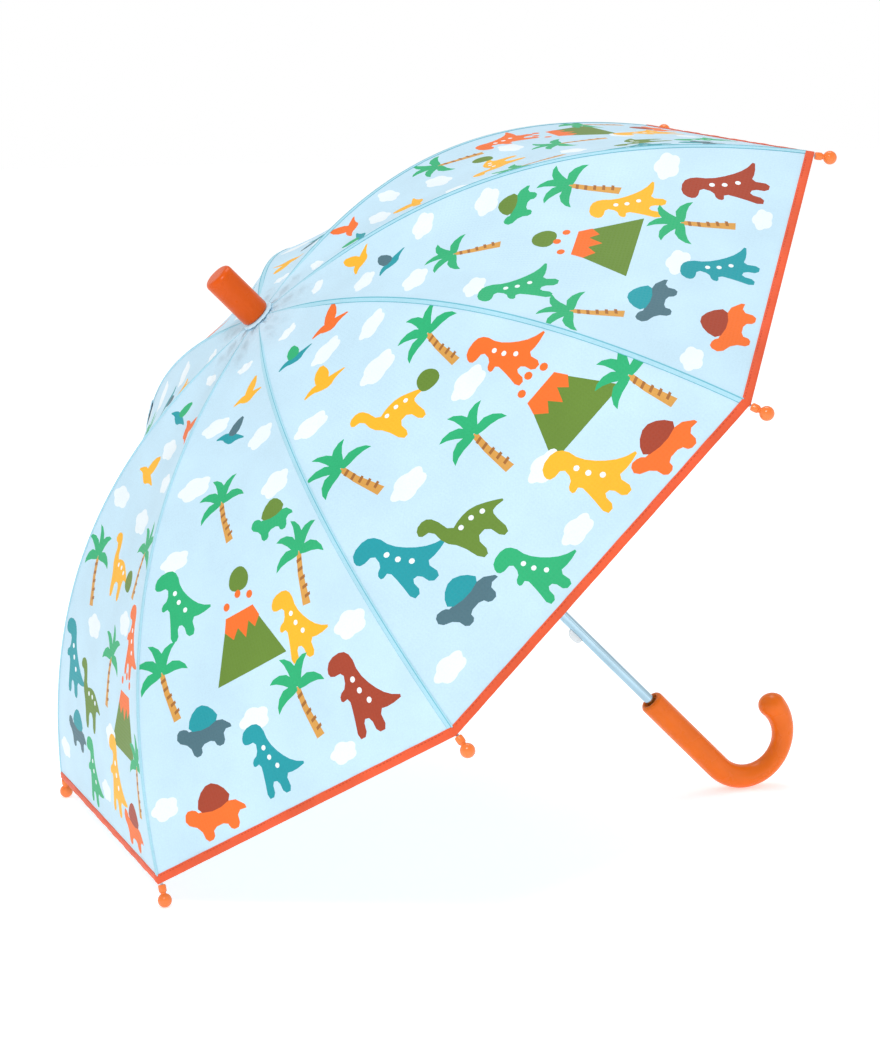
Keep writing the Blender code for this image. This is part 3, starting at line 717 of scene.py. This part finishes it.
def seam_mesh():
    """Narrow folded seam that stands up a little over a rib, with a groove along its middle."""
    work = bmesh.new()
    uv = work.loops.layers.uv.new("cloth")
    rows = 60
    start, end = CLOTH_INNER, HEM_RADIUS - 0.0035
    section = ((-0.0027, 0.0001), (-0.0024, 0.0004), (-0.0008, 0.00045), (0.0003, 0.0004),
               (0.0010, 0.0009), (0.0016, 0.0009), (0.0019, 0.0001))
    # painted shade: the faces of the outer lip and of the step up to the upper fold take the darker
    # seam colour
    painted_shade_bands = (0, 3)
    rings = []
    for i in range(rows + 1):
        radius = start + (end - start) * i / rows
        narrow = min(1.0, radius / 0.05)
        ring = []
        for offset, lift in section:
            across = offset * narrow / (radius * sin(SECTOR))
            ring.append(work.verts.new(cloth_point(radius, across, lift * (0.4 + 0.6 * narrow))))
        rings.append(ring)
    for i, (a, b) in enumerate(zip(rings, rings[1:])):
        for j in range(len(section) - 1):
            face = work.faces.new((a[j], b[j], b[j + 1], a[j + 1]))
            face.material_index = int(j in painted_shade_bands)
            places = ((j, i), (j, i + 1), (j + 1, i + 1), (j + 1, i))
            for loop, (u, v) in zip(face.loops, places):
                loop[uv].uv = (u * 0.0007, v * SEAM_LENGTH / rows)
    bmesh.ops.recalc_face_normals(work, faces=work.faces)
    return work


def canopy_piece(name, number, which, work, materials, stands_for, smooth=0):
    """Make a piece of the canopy and hang it on its rib.

    A piece past a pleat plane (which is -1 or 1) gets a mesh of its own."""
    matrix = RIB_FRAMES[number - 1]
    piece = mesh_piece(f"{name}_{number}", work, materials, matrix, smooth)
    if "radius" in piece.data.attributes:
        set_normals(piece, matrix.to_3x3())
    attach(piece, f"rib_{number}")
    if which:
        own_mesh(piece)
    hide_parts(f"{stands_for}_{number}")
    return piece


def make_rib_cloth(number, which, side, gores):
    """One of a rib's three parts of cloth with its binding and stitches."""
    hem_work = hem_mesh()
    split(hem_work, which)
    hem = canopy_piece(f"hem_{side}", number, which, hem_work, [hem_cloth], "hem_tape",
                       smooth=50)
    stitch_work = stitch_mesh()
    split(stitch_work, which)
    stitch = canopy_piece(f"stitching_{side}", number, which, stitch_work, [thread_cloth],
                          "hem_tape")
    work = cloth_mesh(number, gores)
    split(work, which)
    area = sum(face.calc_area() for face in work.faces)
    cloth = canopy_piece(f"cloth_{side}", number, which, work, printed, "canopy_panel")


def make_canopy():
    gores = [gore_triangles(scatter) for scatter in SCATTER]
    for number in range(1, RIBS + 1):
        seam = canopy_piece("seam_fold", number, 0, seam_mesh(), [seam_cloth, seam_painted_shade],
                            "canopy_panel")
        make_rib_cloth(number, -1, "left", gores)
        make_rib_cloth(number, 0, "middle", gores)
        make_rib_cloth(number, 1, "right", gores)


make_canopy()


# ---------------------------------------------------------------- rib ends, cap, handle, shaft

def hinge_point(radius, depth):
    return Vector((radius - HINGE_RADIUS, 0, HINGE_DEPTH - depth))


def make_tips():
    """Ball, neck and collar over the end of each rib."""
    profile = []
    neck_angle = radians(157)
    steps = 14
    for i in range(steps + 1):
        angle = neck_angle * i / steps
        profile.append((BALL_RADIUS * sin(angle), TIP_REACH + BALL_RADIUS * cos(angle)))
    profile[0] = (0, TIP_REACH + BALL_RADIUS)
    profile += [(0.00195, 0.0066), (0.00205, 0.0061), (0.00250, 0.0058), (0.00272, 0.0053),
                (0.00280, 0.0044), (0.00282, 0.0030), (0.00276, 0.0014), (0.00250, 0.0007),
                (0.00160, 0.0006), (0.00156, 0.0050), (0, 0.0052)]
    slope = seam_slope(HEM_RADIUS)
    local = Matrix.Translation(hinge_point(*below_seam(HEM_RADIUS, CLOTH + GAP + RIB_RADIUS)))
    local @= Matrix.Rotation(pi / 2 + atan2(slope, 1), 4, "Y")
    for number in range(1, RIBS + 1):
        tip = mesh_piece(f"ball_tip_{number}", lathe(profile, 28), [ball_orange],
                         RIB_FRAMES[number - 1] @ local)
        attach(tip, f"rib_{number}")
        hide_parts(f"tip_cap_{number}")


def hook_radius_at(angle):
    taper = sin(min(angle / BULB_START, 1) * pi / 2) ** 2
    thin = GRIP_RADIUS + (HOOK_THIN - GRIP_RADIUS) * taper
    swell = max(0.0, (angle - BULB_START) / (pi - BULB_START))
    return thin + (BULB_RADIUS - HOOK_THIN) * swell**1.5


def make_handle():
    """Crook handle: recessed mouth round the shaft, straight grip, half-round hook, round end."""
    recess = ((0.0035, SHAFT_RADIUS + 0.0002), (0.0035, 0.0058), (0.0030, 0.0061),
              (0.0004, 0.0062))
    stations = [((0, -MOUTH_DEPTH - depth), pi, radius) for depth, radius in recess]
    rim, rim_steps = 0.0029, 6
    for i in range(rim_steps + 1):
        angle = radians(90) * i / rim_steps
        stations.append(((0, -MOUTH_DEPTH - rim * (1 - cos(angle))), pi,
                         GRIP_RADIUS - rim + rim * sin(angle)))
    grip, grip_steps = BEND_DEPTH - MOUTH_DEPTH - rim, 8
    for i in range(1, grip_steps):
        stations.append(((0, -MOUTH_DEPTH - rim - grip * i / grip_steps), pi, GRIP_RADIUS))
    hook_steps = 44
    for i in range(hook_steps + 1):
        angle = pi * i / hook_steps
        stations.append(((HOOK_RADIUS * (1 - cos(angle)), -BEND_DEPTH - HOOK_RADIUS * sin(angle)),
                         pi - angle, hook_radius_at(angle)))
    for i in range(1, 10):
        angle = radians(9.6 * i)
        inward = 0.0002 * i
        stations.append(((2 * HOOK_RADIUS - inward, -BEND_DEPTH + BULB_RADIUS * sin(angle)), 0,
                         BULB_RADIUS * cos(angle)))
    handle = mesh_piece("crook_handle", sweep(stations, 40), [orange], MAIN, smooth=60)
    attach(handle, "shaft")
    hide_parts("handle")


def make_cap():
    """Round cap over the shaft's end, with a soft upper edge."""
    corner = 0.0036
    profile = [(0, CAP_TOP), (0.004, CAP_TOP)]
    for i in range(9):
        angle = radians(90 - 11.25 * i)
        profile.append((CAP_RADIUS - corner + corner * cos(angle),
                        CAP_TOP - corner + corner * sin(angle)))
    profile += [(CAP_RADIUS, 0.030), (CAP_RADIUS, 0.016), (CAP_RADIUS, 0.0045),
                (CAP_RADIUS - 0.0004, 0.0034), (CAP_RADIUS - 0.0010, CAP_BASE),
                (0.0075, CAP_BASE), (0.0043, CAP_BASE + 0.001), (0, CAP_BASE + 0.002)]
    cap = mesh_piece("shaft_cap", lathe(profile, 48), [cap_orange], MAIN, smooth=50)
    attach(cap, "shaft")
    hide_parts("top_cap")


def make_rosette():
    """Gathered ring of cloth under the cap."""
    work = bmesh.new()
    uv = work.loops.layers.uv.new("cloth")
    steps = 96
    section = ((0.0045, 0.0018), (0.0100, 0.0019), (0.0128, 0.0012), (0.0134, 0.0004),
               (0.0120, 0.0002), (0.0045, 0.0002))
    rings = []
    for i in range(steps):
        angle = 2 * pi * i / steps
        ruffle = 0.00045 * sin(16 * angle)
        rings.append([work.verts.new(((r + ruffle) * cos(angle), (r + ruffle) * sin(angle),
                                      z + 0.3 * abs(ruffle))) for r, z in section])
    for i in range(steps):
        a, b = rings[i], rings[(i + 1) % steps]
        for j in range(len(section)):
            k = (j + 1) % len(section)
            face = work.faces.new((a[j], b[j], b[k], a[k]))
            for loop, (u, v) in zip(face.loops, ((i, j), (i + 1, j), (i + 1, j + 1), (i, j + 1))):
                loop[uv].uv = (u * 0.0009, v * 0.002)
    bmesh.ops.recalc_face_normals(work, faces=work.faces)
    ring = mesh_piece("rosette", work, [printed[0]], MAIN, smooth=0)
    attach(ring, "shaft")
    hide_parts("canopy_washer")


def make_shaft():
    """Plated tube with a slot cut for each catch."""
    inner = SHAFT_RADIUS - SHAFT_WALL
    slot_size = (0.0022, CATCH_WIDTH + 2 * GAP, CATCH_LENGTH + 4 * GAP)
    edge = 0.0001
    profile = [(inner, SHAFT_TOP), (SHAFT_RADIUS - edge, SHAFT_TOP),
               (SHAFT_RADIUS, SHAFT_TOP - edge), (SHAFT_RADIUS, -SHAFT_END + edge),
               (SHAFT_RADIUS - edge, -SHAFT_END), (inner, -SHAFT_END), (inner, SHAFT_TOP)]
    shaft = mesh_piece("steel_shaft", lathe(profile, 48), [chrome], MAIN, smooth=40)
    for depth in CATCH_DEPTHS:
        work = bmesh.new()
        bmesh.ops.create_cube(work, size=1.0)
        bmesh.ops.scale(work, vec=slot_size, verts=work.verts)
        bmesh.ops.translate(work, vec=(-SHAFT_RADIUS + SHAFT_WALL / 2, 0, -depth),
                            verts=work.verts)
        cutter = mesh_piece("slot_cutter", work, [], MAIN, smooth=0)
        cut = shaft.modifiers.new("slot", "BOOLEAN")
        cut.object = cutter
        bpy.context.view_layer.update()
        graph = bpy.context.evaluated_depsgraph_get()
        mesh = bpy.data.meshes.new_from_object(shaft.evaluated_get(graph))
        shaft.modifiers.clear()
        shaft.data = mesh
        bpy.data.objects.remove(cutter)
    shaft.data.shade_smooth()
    shaft.data.set_sharp_from_angle(angle=radians(40))
    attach(shaft, "shaft")
    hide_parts("shaft")


def border(grid):
    """What lies round the edge of a grid of rows, in order."""
    right = [row[-1] for row in grid]
    return [row[0] for row in grid] + grid[-1][1:] + right[-2::-1] + grid[0][-2:0:-1]


def make_strap():
    """Closing tape, sewn over one seam at the back of the canopy."""
    work = bmesh.new()
    uv = work.loops.layers.uv.new("cloth")
    rows, columns = 24, 6
    width, length, inner_end = 0.0155, 0.094, 0.2155
    grids = []
    for lift in (0.0016, 0.0009):
        grid = []
        for i in range(rows + 1):
            radius = inner_end + length * i / rows
            row = []
            for j in range(columns + 1):
                offset = width * (j / columns - 0.5)
                crown_lift = 0.0003 * (1 - (2 * j / columns - 1) ** 2)
                row.append(work.verts.new(cloth_point(radius, offset / (radius * sin(SECTOR)),
                                                      lift + crown_lift)))
            grid.append(row)
        grids.append(grid)
    for grid in grids:
        for i in range(rows):
            for j in range(columns):
                places = ((j, i), (j, i + 1), (j + 1, i + 1), (j + 1, i))
                face = work.faces.new([grid[v][u] for u, v in places])
                for loop, (u, v) in zip(face.loops, places):
                    loop[uv].uv = (u * width / columns, v * 0.1 / rows)
    edge, under = border(grids[0]), border(grids[1])
    for i in range(len(edge)):
        j = (i + 1) % len(edge)
        work.faces.new((edge[i], edge[j], under[j], under[i]))
    bmesh.ops.recalc_face_normals(work, faces=work.faces)
    strap = mesh_piece("closing_tape", work, [printed[0]], RIB_FRAMES[2], smooth=50)
    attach(strap, "rib_3")
    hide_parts("closure_strap")


for make in (make_tips, make_handle, make_cap, make_rosette, make_shaft, make_strap):
    make()

FINISHES = {"rib": zinc, "stretcher": zinc, "rivet": zinc, "crown_wire": chrome, "crown": white,
            "top_stop": white, "runner": white, "top_catch": clear, "bottom_catch": clear}
for name, node in frame["nodes"].items():
    kind = name.rstrip("0123456789").rstrip("_")
    if kind in FINISHES:
        node.data.materials.clear()
        node.data.materials.append(FINISHES[kind])


# ---------------------------------------------------------------- floor, light and camera

def make_stage():
    work = bmesh.new()
    bmesh.ops.create_grid(work, x_segments=1, y_segments=1, size=6.0)
    n = Nodes("pale_floor")
    n.put(n.shader.inputs["Base Color"], (0.90, 0.90, 0.90, 1))
    n.put(n.shader.inputs["Roughness"], 0.8)
    n.put(n.shader.inputs["Emission Color"], (1.0, 1.0, 1.0, 1))
    n.put(n.shader.inputs["Emission Strength"], 0.46)
    floor = mesh_piece("floor", work, [n.material], smooth=0)
    bpy.context.scene.view_settings.view_transform = "Standard"


def make_world():
    """White surroundings that are brightest towards the horizon and softer overhead."""
    world = bpy.data.worlds.new("studio")
    bpy.context.scene.world = world
    world.use_nodes = True
    tree = world.node_tree
    direction = tree.nodes.new("ShaderNodeTexCoord").outputs["Generated"]
    split_up = tree.nodes.new("ShaderNodeSeparateXYZ")
    tree.links.new(direction, split_up.inputs[0])
    fade = tree.nodes.new("ShaderNodeMapRange")
    for key, value in (("From Min", 0.12), ("From Max", 0.45), ("To Min", 1.0), ("To Max", 0.56)):
        fade.inputs[key].default_value = value
    tree.links.new(split_up.outputs["Z"], fade.inputs["Value"])
    background = tree.nodes["Background"]
    background.inputs["Color"].default_value = (1.0, 1.0, 1.0, 1)
    tree.links.new(fade.outputs[0], background.inputs["Strength"])


def area_light(name, place, target, size, power):
    light = bpy.data.lights.new(name, "AREA")
    light.shape = "DISK"
    light.size = size
    light.energy = power
    obj = bpy.data.objects.new(name, light)
    bpy.context.scene.collection.objects.link(obj)
    obj.location = place
    obj.rotation_euler = (Vector(target) - Vector(place)).to_track_quat("-Z", "Y").to_euler()


def make_camera():
    azimuth, elevation, roll = radians(-20.23), radians(10.70), radians(0.31)
    back = Vector((sin(azimuth) * cos(elevation), -cos(azimuth) * cos(elevation), sin(elevation)))
    right = Vector((cos(azimuth), sin(azimuth), 0))
    up = back.cross(right)
    rolled = (cos(roll) * right + sin(roll) * up, -sin(roll) * right + cos(roll) * up, back)
    matrix = Matrix(rolled).transposed().to_4x4()
    matrix.translation = crown + Vector((-0.6570, -2.1903, 0.2926))
    data = bpy.data.cameras.new("camera")
    data.sensor_fit = "HORIZONTAL"
    data.sensor_width = 36.0
    data.lens = 130.1
    data.shift_x = -0.0143
    data.shift_y = -0.0143
    camera = bpy.data.objects.new("camera", data)
    bpy.context.scene.collection.objects.link(camera)
    camera.matrix_world = matrix
    bpy.context.scene.camera = camera


make_stage()
make_world()
area_light("key", (-1.3, -1.9, 2.4), (0, 0, 0.25), 0.7, 32)
area_light("fill", (1.9, -1.4, 1.2), (0, 0, 0.2), 1.4, 2)
area_light("top", (0.3, 0.6, 2.6), (0, 0, 0.2), 1.4, 16)
make_camera()
